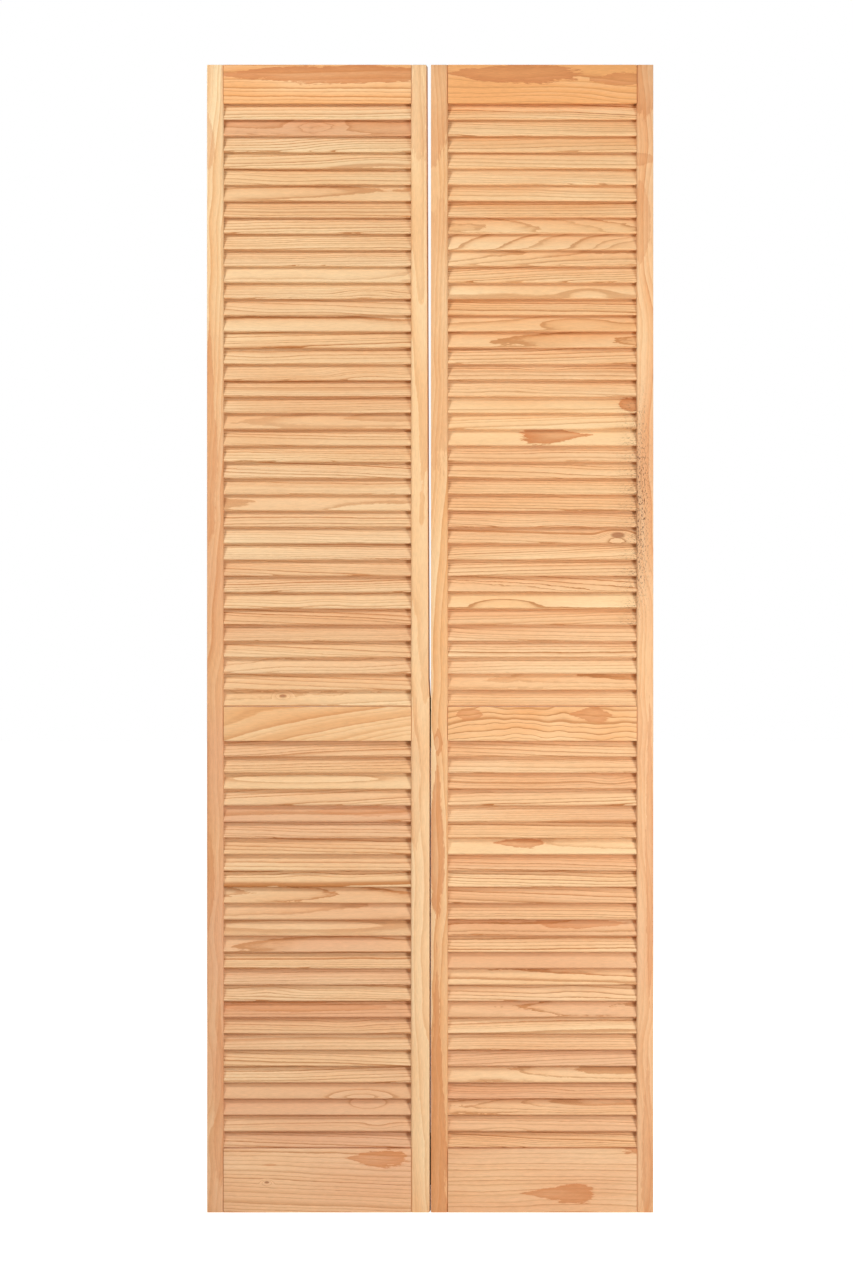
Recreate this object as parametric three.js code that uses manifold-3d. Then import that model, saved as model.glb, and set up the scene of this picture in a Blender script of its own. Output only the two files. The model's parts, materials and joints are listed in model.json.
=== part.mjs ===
// Bifold closet door: two louvred pine leaves hinged together along their meeting edges.
// Millimetres, +Z up. X runs from the pivot leaf to the lead leaf, and Y from the room into the closet.

import * as THREE from "three";
import { mergeVertices } from "three/addons/utils/BufferGeometryUtils.js";
import Module from "manifold-3d";

const wasm = await Module();
wasm.setup();

// Leaves
const door_width = 770.2;
const leaf_thickness = 28;
const top_rail_height = 66.5;
const middle_rail_height = 58.7;
const bottom_rail_height = 110.5;
const outer_stile_width = 28.5;
const pivot_meeting_stile_width = 31.7;
const lead_meeting_stile_width = 29.3;
const stile_chamfer = 2.4;

// Slats
const slat_pitch = 28.15;
const upper_slats = 37;
const lower_slats = 25;
const slat_width = 36.5;
const slat_thickness = 6.5;
const slat_corner = 1.9;
const slat_tilt = THREE.MathUtils.degToRad(29);
const slat_housing = 8;

// Planed edges where the leaves meet
const edge_bevel = THREE.MathUtils.degToRad(5.5);
const taper_at_top = 5.5;
const taper_at_hinge = 1.9;
const taper_run_out = 34;

// Dowels, with their heights as shares of the rail that they hold
const dowel_diameter = 8;
const dowel_in_stile = 18;
const dowel_in_rail = 22;
const top_rail_dowel_shares = [0.3, 0.7];
const middle_rail_dowel_shares = [0.168, 0.832];
const bottom_rail_dowel_shares = [0.2, 0.62];

// Bores for the jamb pivots and the track guide
const pivot_bore_diameter = 9.5;
const pivot_bore_depth = 40;
const pivot_inset = 60;

// Hinges
const hinge_height = 84;
const middle_hinge_above_rail = 3;
const bottom_hinge_height = 89;
const plate_thickness = 2;
const plate_reach = 27;
const plate_corner = 3;
const strip_reach = 24;
const inner_plate_height = 37;
const inner_plate_reach = 17.5;
const inner_plate_corner = 2;
const barrel_radius = 3.5;
const pin_radius = 2;
const pin_setback = 4;
const pin_head_radius = 3.1;
const pin_head_height = 2.4;

// Screws. Their places on the plates are measured forward from the pin, and inwards from the plate's top or
// bottom end.
const screw_length = 18;
const screw_radius = 1.75;
const screw_head_radius = 3.5;
const screw_head_height = 1.75;
const screw_tip = 4;
const near_screw = { forward: 9, from_end: 6.5 };
const far_screw = { forward: 20, from_end: 11.7 };
const inner_screw = { forward: 10.5, from_end: 12 };

// Clearances, and how far a cutter runs past what it cuts
const fit_gap = 0.3;
const overrun = 1;

const dowel_sides = 10;
const bore_sides = 16;
const screw_sides = 10;
const barrel_sides = 14;

const pine = { color: 0xe3b07b, roughness: 0.55, metalness: 0 };
const rail_pine = { color: 0xe6ab76, roughness: 0.55, metalness: 0 };
const slat_pine = { color: 0xe0b083, roughness: 0.58, metalness: 0 };
const beech = { color: 0xd8b98e, roughness: 0.7, metalness: 0 };
const bronze = { color: 0x3b2a1b, roughness: 0.42, metalness: 0.85 };
const steel = { color: 0x5a4630, roughness: 0.38, metalness: 0.9 };

// Heights worked out from the rails and the slats
const lower_field_height = lower_slats * slat_pitch;
const upper_field_height = upper_slats * slat_pitch;
const middle_rail_base = bottom_rail_height + lower_field_height;
const upper_field_base = middle_rail_base + middle_rail_height;
const top_rail_base = upper_field_base + upper_field_height;
const door_height = top_rail_base + top_rail_height;
const half_thickness = leaf_thickness / 2;

// The gap between the leaves holds one hinge plate. The pin stands behind the leaves, in the gap's plane.
const half_gap = plate_thickness / 2 + fit_gap;
const pin_y = half_thickness + pin_setback;
const pin_x = (half_thickness + pin_y) * Math.tan(edge_bevel);
const front_gap = 2 * half_gap / Math.cos(edge_bevel);
const middle_hinge_height = middle_rail_base + middle_rail_height / 2 + middle_hinge_above_rail;

// Leaves by side: the pivot leaf lies on the -X side, and the lead leaf on the +X side.
const leaves = [
  { name: "pivot", side: -1, meeting_stile_width: pivot_meeting_stile_width },
  { name: "lead", side: 1, meeting_stile_width: lead_meeting_stile_width },
];

function outline(points) {
  return new THREE.Shape(points.map(([x, y]) => new THREE.Vector2(x, y)));
}

function prism(shape, depth) {
  return new THREE.ExtrudeGeometry(shape, { depth, bevelEnabled: false, steps: 1 });
}

// A section drawn in X and Y, standing from one height to another.
function upright(points, low, high) {
  return prism(outline(points), high - low).translate(0, 0, low);
}

// A section drawn in Y and Z, lying along X from one place to another.
function along_x(points, start, end) {
  const turn = new THREE.Matrix4().makeBasis(
    new THREE.Vector3(0, 1, 0), new THREE.Vector3(0, 0, 1), new THREE.Vector3(1, 0, 0));
  const low = Math.min(start, end);
  return prism(outline(points), Math.abs(end - start)).applyMatrix4(turn).translate(low, 0, 0);
}

// A round bar along X from one place to another.
function bar_along_x(radius, sides, start, end, y, z) {
  const bar = new THREE.CylinderGeometry(radius, radius, Math.abs(end - start), sides);
  return bar.rotateZ(Math.PI / 2).translate((start + end) / 2, y, z);
}

function solid(geometry) {
  const bare = geometry.clone();
  bare.deleteAttribute("normal");
  bare.deleteAttribute("uv");
  const merged = mergeVertices(bare, fit_gap / 1000);
  return new wasm.Manifold(new wasm.Mesh({
    numProp: 3,
    vertProperties: new Float32Array(merged.attributes.position.array),
    triVerts: new Uint32Array(merged.index.array),
  }));
}

function join(geometries) {
  return wasm.Manifold.union(geometries.map(solid));
}

function cut(body, cutters) {
  return body.subtract(join(cutters));
}

function surface(body) {
  const mesh = body.getMesh();
  const geometry = new THREE.BufferGeometry();
  geometry.setAttribute("position", new THREE.BufferAttribute(new Float32Array(mesh.vertProperties), 3));
  geometry.setIndex(new THREE.BufferAttribute(new Uint32Array(mesh.triVerts), 1));
  geometry.computeVertexNormals();
  return geometry;
}

function piece(name, geometry, finish) {
  const mesh = new THREE.Mesh(geometry, new THREE.MeshStandardMaterial(finish));
  mesh.name = name;
  return mesh;
}

// The slat's section about its own middle, leaning back from its lower edge. A cutter is grown all round.
function slat_section(grow, y, z) {
  const half_width = slat_width / 2 + grow;
  const half_depth = slat_thickness / 2 + grow;
  const corner = slat_corner + grow * (2 - Math.SQRT2);
  const corners = [
    [half_width - corner, half_depth], [half_width, half_depth - corner],
    [half_width, corner - half_depth], [half_width - corner, -half_depth],
    [corner - half_width, -half_depth], [-half_width, corner - half_depth],
    [-half_width, half_depth - corner], [corner - half_width, half_depth],
  ];
  return corners.map(([along, across]) => [
    y + along * Math.sin(slat_tilt) + across * Math.cos(slat_tilt),
    z + along * Math.cos(slat_tilt) - across * Math.sin(slat_tilt),
  ]);
}

const slat_half_height = Math.max(...slat_section(0, 0, 0).map(([, z]) => z));

// Each field's lowest slat rests just above the rail below it.
const slat_heights = [
  ...Array.from({ length: lower_slats }, (_, index) => bottom_rail_height + index * slat_pitch),
  ...Array.from({ length: upper_slats }, (_, index) => upper_field_base + index * slat_pitch),
].map((base) => base + fit_gap + slat_half_height);

function outer_edge(side) {
  return side * door_width / 2;
}

function outer_stile_face(side) {
  return outer_edge(side) - side * outer_stile_width;
}

function meeting_stile_face(leaf) {
  return leaf.side * (front_gap / 2 + leaf.meeting_stile_width);
}

// Where a leaf's bevelled meeting edge lies at some depth.
function meeting_edge(side, y) {
  return pin_x + side * half_gap / Math.cos(edge_bevel) + (y - pin_y) * Math.tan(edge_bevel);
}

// Places in the plane of the gap: u across it, v towards the back, from the pin's axis.
function gap_frame(z) {
  return new THREE.Matrix4().makeRotationZ(-edge_bevel).setPosition(pin_x, pin_y, z);
}

const rails = [
  { name: "bottom_rail", low: 0, high: bottom_rail_height, shares: bottom_rail_dowel_shares },
  { name: "middle_rail", low: middle_rail_base, high: upper_field_base, shares: middle_rail_dowel_shares },
  { name: "top_rail", low: top_rail_base, high: door_height, shares: top_rail_dowel_shares },
];

function dowel_heights(rail) {
  return rail.shares.map((share) => rail.low + share * (rail.high - rail.low));
}

// Blind holes for the dowels in a stile, whose face looks along the given direction.
function stile_dowel_holes(face, direction) {
  const radius = dowel_diameter / 2 + fit_gap;
  const bottom = face - direction * (dowel_in_stile + fit_gap);
  return rails.flatMap(dowel_heights).map((z) =>
    bar_along_x(radius, dowel_sides, bottom, face + direction * overrun, 0, z));
}

// A stile's section: square to its outer side, with a chamfer along the front of its inner side.
function stile_section(inner, outward, front, back) {
  return [
    [inner, half_thickness],
    [inner, stile_chamfer - half_thickness],
    [inner + outward * stile_chamfer, -half_thickness],
    [front, -half_thickness],
    [back, half_thickness],
  ];
}

// The outer stile and the slats that it carries, which reach into the housings of the meeting stile.
function stile_with_slats(leaf) {
  const inner = outer_stile_face(leaf.side);
  const outer = outer_edge(leaf.side);
  const end = meeting_stile_face(leaf) - leaf.side * slat_housing;
  const root = inner + leaf.side * slat_housing;
  const stile = upright(stile_section(inner, leaf.side, outer, outer), 0, door_height);
  const slats = slat_heights.map((z) => along_x(slat_section(0, 0, z), root, end));
  return cut(join([stile, ...slats]), stile_dowel_holes(inner, -leaf.side));
}

// The pivot leaf's meeting edge is planed away above the middle hinge, more towards the top.
function taper_cutter() {
  const start = middle_hinge_height + hinge_height / 2;
  const face = -half_gap;
  const points = [
    [face, start],
    [face - taper_at_hinge, start + taper_run_out],
    [face - taper_at_top, door_height],
    [face - taper_at_top, door_height + overrun],
    [half_gap, door_height + overrun],
    [half_gap, start],
  ];
  const depth = 2 * leaf_thickness + pin_setback;
  return prism(outline(points), depth).rotateX(Math.PI / 2).applyMatrix4(gap_frame(0));
}

function meeting_stile(leaf) {
  const inner = meeting_stile_face(leaf);
  const front = meeting_edge(leaf.side, -half_thickness);
  const back = meeting_edge(leaf.side, half_thickness);
  const stile = upright(stile_section(inner, -leaf.side, front, back), 0, door_height);
  const bottom = inner - leaf.side * (slat_housing + fit_gap);
  const mouth = inner + leaf.side * overrun;
  const housings = slat_heights.map((z) => along_x(slat_section(fit_gap, 0, z), bottom, mouth));
  const cutters = [...housings, ...stile_dowel_holes(inner, leaf.side), ...pilot_holes(leaf)];
  if (leaf.name === "pivot") {
    cutters.push(taper_cutter());
  }
  return cut(solid(stile), cutters);
}

// A rail's section. A rail above slats is rebated behind, to take the top slat's upper edge.
function rail_section(rail) {
  if (rail.low === 0) {
    return [
      [-half_thickness, rail.low], [half_thickness, rail.low],
      [half_thickness, rail.high], [-half_thickness, rail.high],
    ];
  }
  const slat_middle = rail.low - slat_pitch + fit_gap + slat_half_height;
  const ledge = slat_middle + slat_half_height + fit_gap;
  const shoulder = (z) =>
    ((z - slat_middle) * Math.sin(slat_tilt) - slat_thickness / 2 - fit_gap) / Math.cos(slat_tilt);
  return [
    [-half_thickness, rail.low], [shoulder(rail.low), rail.low],
    [shoulder(ledge), ledge], [half_thickness, ledge],
    [half_thickness, rail.high], [-half_thickness, rail.high],
  ];
}

// The blind bore that a jamb pivot or the track guide stands in.
function pivot_bore(leaf, rail) {
  const at_top = rail.name === "top_rail";
  const mouth = at_top ? rail.high + overrun : rail.low - overrun;
  const bottom = at_top ? rail.high - pivot_bore_depth : rail.low + pivot_bore_depth;
  const radius = pivot_bore_diameter / 2;
  const bore = new THREE.CylinderGeometry(radius, radius, Math.abs(mouth - bottom), bore_sides);
  const x = outer_edge(leaf.side) - leaf.side * pivot_inset;
  return bore.rotateX(Math.PI / 2).translate(x, 0, (mouth + bottom) / 2);
}

function rail_piece(leaf, rail) {
  const outer = outer_stile_face(leaf.side) - leaf.side * fit_gap;
  const inner = meeting_stile_face(leaf) + leaf.side * fit_gap;
  const radius = dowel_diameter / 2 + fit_gap;
  const hole = dowel_in_rail + fit_gap;
  const cutters = dowel_heights(rail).flatMap((z) => [
    bar_along_x(radius, dowel_sides, outer + leaf.side * overrun, outer - leaf.side * hole, 0, z),
    bar_along_x(radius, dowel_sides, inner - leaf.side * overrun, inner + leaf.side * hole, 0, z),
  ]);
  const has_pivot = rail.name === "bottom_rail" && leaf.name === "pivot";
  if (has_pivot || rail.name === "top_rail") {
    cutters.push(pivot_bore(leaf, rail));
  }
  return cut(solid(along_x(rail_section(rail), outer, inner)), cutters);
}

// A dowel across the joint between a stile, whose face is given, and the rail's end, a gap away from it.
function dowel(face, direction, z) {
  const start = face - direction * dowel_in_stile;
  const end = face + direction * (fit_gap + dowel_in_rail);
  return bar_along_x(dowel_diameter / 2, dowel_sides, start, end, 0, z);
}

function leaf_group(leaf) {
  const group = new THREE.Group();
  group.add(piece(`${leaf.name}_stile_with_slats`, surface(stile_with_slats(leaf)), slat_pine));
  group.add(piece(`${leaf.name}_meeting_stile`, surface(meeting_stile(leaf)), pine));
  for (const rail of rails) {
    group.add(piece(`${leaf.name}_${rail.name}`, surface(rail_piece(leaf, rail)), rail_pine));
    dowel_heights(rail).forEach((z, index) => {
      const number = index + 1;
      const outer = dowel(outer_stile_face(leaf.side), -leaf.side, z);
      const meeting = dowel(meeting_stile_face(leaf), leaf.side, z);
      group.add(piece(`${leaf.name}_${rail.name}_outer_dowel_${number}`, outer, beech));
      group.add(piece(`${leaf.name}_${rail.name}_meeting_dowel_${number}`, meeting, beech));
    });
  }
  return group;
}

// Hinge plates are drawn in the plane of the gap, from the pin's axis towards the front, in v and z. Their
// thickness lies across the gap.
function plate(points) {
  const turn = new THREE.Matrix4().makeBasis(
    new THREE.Vector3(0, 1, 0), new THREE.Vector3(0, 0, 1), new THREE.Vector3(1, 0, 0));
  return prism(outline(points), plate_thickness).translate(0, 0, -plate_thickness / 2).applyMatrix4(turn);
}

function barrel(low, high) {
  const tube = new THREE.CylinderGeometry(barrel_radius, barrel_radius, high - low, barrel_sides);
  return tube.rotateX(Math.PI / 2).translate(0, 0, (low + high) / 2);
}

function pin_hole() {
  const radius = pin_radius + fit_gap;
  const hole = new THREE.CylinderGeometry(radius, radius, hinge_height + 2 * overrun, barrel_sides);
  return hole.rotateX(Math.PI / 2);
}

// A screw's place near the plate's top end, and its mirror image near the bottom end.
function screw_pair(place, height) {
  const up = height / 2 - place.from_end;
  return [{ forward: place.forward, up }, { forward: place.forward, up: -up }];
}

const outer_screws = [near_screw, far_screw].flatMap((place) => screw_pair(place, hinge_height));
const inner_screws = screw_pair(inner_screw, inner_plate_height);

function lathe(profile, sides) {
  const points = profile.map(([radius, height]) => new THREE.Vector2(radius, height));
  return new THREE.LatheGeometry(points, sides);
}

// Turned from standing upright to lie across the plate, with its top at the plate's face on the given side.
function place_screw(geometry, side, place) {
  const turned = geometry.rotateZ(side > 0 ? -Math.PI / 2 : Math.PI / 2);
  return turned.translate(side * plate_thickness / 2, -place.forward, place.up);
}

function screw(side, place) {
  const profile = [
    [0, -screw_length], [screw_radius, screw_tip - screw_length],
    [screw_radius, -screw_head_height], [screw_head_radius, 0], [0, 0],
  ];
  return place_screw(lathe(profile, screw_sides), side, place);
}

// The countersunk hole through a plate, opened past the plate's face.
function countersink(side, place) {
  const slant = fit_gap * Math.SQRT2;
  const mouth = screw_head_radius + slant + overrun;
  const profile = [
    [0, -plate_thickness - overrun], [screw_radius + fit_gap, -plate_thickness - overrun],
    [screw_radius + fit_gap, -screw_head_height - slant + fit_gap],
    [mouth, overrun], [0, overrun],
  ];
  return place_screw(lathe(profile, screw_sides), side, place);
}

// The pilot hole in the wood behind a plate.
function pilot_hole(side, place) {
  const length = screw_length + fit_gap;
  const radius = screw_radius + fit_gap;
  const hole = new THREE.CylinderGeometry(radius, radius, length, screw_sides).translate(0, -length / 2, 0);
  return place_screw(hole, side, place);
}

// The outer plate's screws go into the pivot leaf, and the inner plate's into the lead leaf.
function pilot_holes(leaf) {
  const places = leaf.name === "pivot" ? outer_screws : inner_screws;
  return [bottom_hinge_height, middle_hinge_height].flatMap((z) =>
    places.map((place) => pilot_hole(-leaf.side, place).applyMatrix4(gap_frame(z))));
}

function outer_plate() {
  const top = hinge_height / 2;
  const window_top = inner_plate_height / 2 + fit_gap;
  const window_front = -inner_plate_reach - fit_gap;
  const points = [
    [0, top], [plate_corner - plate_reach, top], [-plate_reach, top - plate_corner],
    [-plate_reach, window_top + plate_corner], [-strip_reach, window_top],
    [-strip_reach, -window_top], [-plate_reach, -window_top - plate_corner],
    [-plate_reach, plate_corner - top], [plate_corner - plate_reach, -top], [0, -top],
    [0, -window_top], [window_front, -window_top],
    [window_front, window_top], [0, window_top],
  ];
  const body = join([plate(points), barrel(window_top, top), barrel(-top, -window_top)]);
  return cut(body, [pin_hole(), ...outer_screws.map((place) => countersink(1, place))]);
}

function inner_plate() {
  const top = inner_plate_height / 2;
  const points = [
    [0, top], [inner_plate_corner - inner_plate_reach, top],
    [-inner_plate_reach, top - inner_plate_corner], [-inner_plate_reach, inner_plate_corner - top],
    [inner_plate_corner - inner_plate_reach, -top], [0, -top],
  ];
  const body = join([plate(points), barrel(-top, top)]);
  return cut(body, [pin_hole(), ...inner_screws.map((place) => countersink(-1, place))]);
}

// The pin, with a flat domed head above the top knuckle and below the bottom one.
function hinge_pin() {
  const end = hinge_height / 2 + fit_gap;
  const neck = pin_head_height / 3;
  const profile = [
    [0, -end - pin_head_height], [pin_head_radius - neck, -end - pin_head_height],
    [pin_head_radius, -end - pin_head_height + neck], [pin_head_radius, -end], [pin_radius, -end],
    [pin_radius, end], [pin_head_radius, end], [pin_head_radius, end + pin_head_height - neck],
    [pin_head_radius - neck, end + pin_head_height], [0, end + pin_head_height],
  ];
  return lathe(profile, barrel_sides).rotateX(Math.PI / 2);
}

function hinge_group(name, z) {
  const group = new THREE.Group();
  group.position.set(pin_x, pin_y, z);
  group.rotation.z = -edge_bevel;
  group.add(piece(`${name}_outer_plate`, surface(outer_plate()), bronze));
  group.add(piece(`${name}_inner_plate`, surface(inner_plate()), bronze));
  group.add(piece(`${name}_pin`, hinge_pin(), steel));
  outer_screws.forEach((place, index) => {
    group.add(piece(`${name}_outer_screw_${index + 1}`, screw(1, place), steel));
  });
  inner_screws.forEach((place, index) => {
    group.add(piece(`${name}_inner_screw_${index + 1}`, screw(-1, place), steel));
  });
  return group;
}

// The whole door stands on the origin, at the middle of its width and of its depth over the hinge barrels.
const door = new THREE.Group();
door.position.y = -(pin_setback + barrel_radius) / 2;
leaves.forEach((leaf) => door.add(leaf_group(leaf)));
door.add(hinge_group("bottom_hinge", bottom_hinge_height));
door.add(hinge_group("middle_hinge", middle_hinge_height));

export default door;
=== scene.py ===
import json
import math

import bmesh
import bpy
import numpy as np
from mathutils import Matrix, Vector


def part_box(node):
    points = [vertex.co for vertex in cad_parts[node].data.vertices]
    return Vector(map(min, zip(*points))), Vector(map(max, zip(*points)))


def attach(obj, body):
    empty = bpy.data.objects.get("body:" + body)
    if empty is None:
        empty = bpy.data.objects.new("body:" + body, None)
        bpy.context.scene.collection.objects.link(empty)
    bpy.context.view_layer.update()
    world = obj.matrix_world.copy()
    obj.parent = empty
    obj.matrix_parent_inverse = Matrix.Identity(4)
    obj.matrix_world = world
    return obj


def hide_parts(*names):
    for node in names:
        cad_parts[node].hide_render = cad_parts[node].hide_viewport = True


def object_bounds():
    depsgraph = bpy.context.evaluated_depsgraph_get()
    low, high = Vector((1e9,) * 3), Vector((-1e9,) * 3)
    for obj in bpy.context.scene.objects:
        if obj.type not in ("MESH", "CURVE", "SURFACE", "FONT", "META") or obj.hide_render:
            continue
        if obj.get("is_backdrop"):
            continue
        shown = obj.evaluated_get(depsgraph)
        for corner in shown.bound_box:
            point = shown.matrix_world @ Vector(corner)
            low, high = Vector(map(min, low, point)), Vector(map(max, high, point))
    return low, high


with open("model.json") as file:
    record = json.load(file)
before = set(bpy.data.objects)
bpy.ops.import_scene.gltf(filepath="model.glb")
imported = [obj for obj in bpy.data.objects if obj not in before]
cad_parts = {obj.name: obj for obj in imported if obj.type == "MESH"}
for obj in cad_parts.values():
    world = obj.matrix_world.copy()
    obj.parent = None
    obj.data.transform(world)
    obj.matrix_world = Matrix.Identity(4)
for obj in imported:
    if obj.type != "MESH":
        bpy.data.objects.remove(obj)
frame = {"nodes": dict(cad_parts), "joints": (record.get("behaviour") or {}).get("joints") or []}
bounds_at_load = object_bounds()
scene = bpy.context.scene

# ---- Slats ----
# Each leaf's louvre: thin pine slats with rounded edges, planed from mostly clear boards and slid into
# slanting housings in both stiles, 25 below the middle rail and 37 above it. They lean back from their
# lower edges.

mm = 0.001
slat_width = 36.5 * mm
slat_thickness = 6.5 * mm
slat_corner = 2.6 * mm
slat_tilt = math.radians(29)
slat_pitch = 28.15 * mm
slat_half_height = 16.616 * mm
slat_housing = 8 * mm
slat_play = math.radians(0.5)
slat_sections = 15
corner_steps = 2
slat_edge_wave = 0.45 * mm
slat_waves_per_metre = (7, 45, 0)
slat_wave_step = 3.7
fit_gap = 0.3 * mm
sharp_turn = math.radians(32)
lower_slats = 25
upper_slats = 37

leaves = (("pivot", "left", -1), ("lead", "right", 1))
stile_face = {"pivot": -356.6 * mm, "lead": 356.6 * mm}
meeting_face = {"pivot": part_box("pivot_meeting_stile")[0].x, "lead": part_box("lead_meeting_stile")[1].x}
leaf_front, leaf_back = (corner.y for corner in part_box("pivot_middle_rail"))
leaf_middle = (leaf_front + leaf_back) / 2


def add(tree, kind, inputs=None, **settings):
    """Adds a node with its settings, and fills or links its inputs. A node stands for its first output."""
    made = tree.nodes.new(kind)
    for name, value in settings.items():
        setattr(made, name, value)
    for key, value in (inputs or {}).items():
        if isinstance(value, bpy.types.Node):
            value = value.outputs[0]
        if isinstance(value, bpy.types.NodeSocket):
            tree.links.new(value, made.inputs[key])
        else:
            made.inputs[key].default_value = value
    return made


def colour(code):
    """An sRGB hex colour as the linear colour that Blender's sockets take."""
    shares = [int(code[at : at + 2], 16) / 255 for at in (0, 2, 4)]
    return (*[c / 12.92 if c <= 0.04045 else ((c + 0.055) / 1.055) ** 2.4 for c in shares], 1.0)


def new_material(name):
    """A material that has no nodes yet, and its node tree."""
    made = bpy.data.materials.new(name)
    made.use_nodes = True
    made.node_tree.nodes.clear()
    return made, made.node_tree


def new_tree(name, **sockets):
    """A Geometry Nodes tree, and its inputs, which are listed by kind."""
    tree = bpy.data.node_groups.new(name, "GeometryNodeTree")
    for kind, names in sockets.items():
        for socket in names:
            tree.interface.new_socket(name=socket, in_out="INPUT", socket_type="NodeSocket" + kind)
    tree.interface.new_socket(name="Geometry", in_out="OUTPUT", socket_type="NodeSocketGeometry")
    return tree, add(tree, "NodeGroupInput").outputs


def plain_mesh(thing):
    """What an object's modifiers make of its mesh, as a mesh of its own."""
    depsgraph = bpy.context.evaluated_depsgraph_get()
    return bpy.data.meshes.new_from_object(thing.evaluated_get(depsgraph), depsgraph=depsgraph)


def grown(tree, values, base=None):
    """The plain mesh that a Geometry Nodes tree makes with these values for its named inputs."""
    holder = bpy.data.objects.new("holder", base or bpy.data.meshes.new("holder"))
    modifier = holder.modifiers.new("tree", "NODES")
    modifier.node_group = tree
    for item in tree.interface.items_tree:
        if item.in_out == "INPUT" and item.name in values:
            modifier[item.identifier] = values[item.name]
    scene.collection.objects.link(holder)
    made = plain_mesh(holder)
    bpy.data.objects.remove(holder)
    return made


def show(name, mesh, body, nodes):
    """Puts a finished mesh in the scene, on its CAD body and in place of its CAD nodes."""
    mesh.shade_smooth()
    mesh.set_sharp_from_angle(angle=sharp_turn)
    piece = bpy.data.objects.new(name, mesh)
    scene.collection.objects.link(piece)
    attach(piece, body)
    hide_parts(*nodes)


# What a board's wood is like unless a board says otherwise. The pine reads it from a mesh's attributes of
# the same names. Lengths are in metres, and places lie along the board, across it and into it.
plain_board = {
    # Which stretch of the patterns it shows.
    "drift": (0, 0, 0),
    # The pith's swirls per metre, and its place across and into the board.
    "pith": (2.2, 0, -0.05),
    # How far the pith strays across and into the board for each metre along it.
    "lean": (0, 0, 0.01),
    # The rings' width, how far the pith wanders, and how strongly late wood shows.
    "rings": (0.005, 0.02, 0.7),
    # How much the tone changes within a ring and from ring to ring, and how grey the wood has aged.
    "zones": (0.1, 0.1, 0),
    # Depth of tone, pinkness and heartwood.
    "tint": (0.4, 0.3, 0.5),
    # Where the rings bulge, along and across the board, and by how much.
    "eye": (0, 0, 0),
    # Where a resinous patch lies, along and across the board, and how rich it is.
    "patch": (0, 0, 0),
    # Half the length and half the width of the bulge or patch, and how much blunter its near end is.
    "spread": (0.055, 0.016, 0),
    # Where a knot stands, here out of reach, and its radius.
    "knot": (9, 9, 0.003),
    # Where along the board mildew lies, how far it reaches, and how strong it is.
    "soil": (0, 1, 0),
}

# Plantation pine, planed and given one thin coat of clear satin lacquer. Wide growth rings show as fine
# lines where the saw met them on edge, and as broad patches with crisp borders where the board lies along
# them: the pale early wood shades into orange late wood and stops short at the next ring.
pine, wood = new_material("Planed pine under clear satin lacquer")
growth = {}
for name in ("board", *plain_board):
    carried = add(wood, "ShaderNodeAttribute", attribute_name=name).outputs["Vector"]
    growth[name] = carried
    growth[name + " parts"] = add(wood, "ShaderNodeSeparateXYZ", {0: carried}).outputs
board = growth["board"]
along, across, depth = growth["board parts"]
ring_width, wander, contrast = growth["rings parts"]
within_ring, ring_to_ring, aged = growth["zones parts"]
depth_of_tone, blush, heart = growth["tint parts"]
soil_along, soil_reach, soil_strength = growth["soil parts"]

# The wood's patterns, with so many blots per metre along the board, across it and into it, in so many
# sizes, and with so much strength in the small ones. Real fibres are a few hundredths of a millimetre
# wide. They are drawn as bundles of about 1.5 mm, which show in the render.
swirls_across = 6.0
swirls = {"X": growth["pith parts"][0], "Y": swirls_across, "Z": swirls_across}
swirls = add(wood, "ShaderNodeCombineXYZ", swirls)
pattern = {}
for name, per_metre, sizes, roughness in (
    ("swirls", swirls, 2.0, 0.5),
    ("ripples", (14, 60, 60), 4.0, 0.72),
    ("tones", (5, 30, 30), 2.0, 0.5),
    ("fibres", (70, 700, 700), 3.0, 0.7),
    ("specks", (190, 500, 500), 3.0, 0.7),
):
    place = {0: board, 1: per_metre, 2: growth["drift"]}
    place = add(wood, "ShaderNodeVectorMath", place, operation="MULTIPLY_ADD")
    settings = {"Vector": place, "Scale": 1.0, "Detail": sizes, "Roughness": roughness}
    pattern[name] = add(wood, "ShaderNodeTexNoise", settings)

# The pith runs beside the board, leaning and wandering, and the rings lie round it.
wandering = {0: pattern["swirls"].outputs["Color"], 1: (0.5, 0.5, 0.5)}
wandering = add(wood, "ShaderNodeVectorMath", wandering, operation="SUBTRACT")
wandering = add(wood, "ShaderNodeVectorMath", {0: wandering, "Scale": wander}, operation="SCALE")
leaning = add(wood, "ShaderNodeVectorMath", {0: growth["lean"], "Scale": along}, operation="SCALE")
from_pith = board
for other, operation in (
    (growth["pith"], "SUBTRACT"),
    (leaning, "SUBTRACT"),
    (wandering, "ADD"),
    ((0, 1, 1), "MULTIPLY"),
):
    from_pith = add(wood, "ShaderNodeVectorMath", {0: from_pith, 1: other}, operation=operation)
radius = add(wood, "ShaderNodeVectorMath", {0: from_pith}, operation="LENGTH").outputs["Value"]

# How far a point lies along and across the board from its marks, which run through its whole thickness.
# The bulge and the patch are measured in their own half lengths and half widths.
from_mark = {}
for name, other, operation in (
    ("eye", growth["spread"], "DIVIDE"),
    ("patch", growth["spread"], "DIVIDE"),
    ("knot", (0.5, 1, 0), "MULTIPLY"),
):
    mark = {0: growth[name + " parts"][0], 1: growth[name + " parts"][1], 2: depth}
    mark = add(wood, "ShaderNodeCombineXYZ", mark)
    mark = add(wood, "ShaderNodeVectorMath", {0: board, 1: mark}, operation="SUBTRACT")
    from_mark[name] = add(wood, "ShaderNodeVectorMath", {0: mark, 1: other}, operation=operation)

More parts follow.
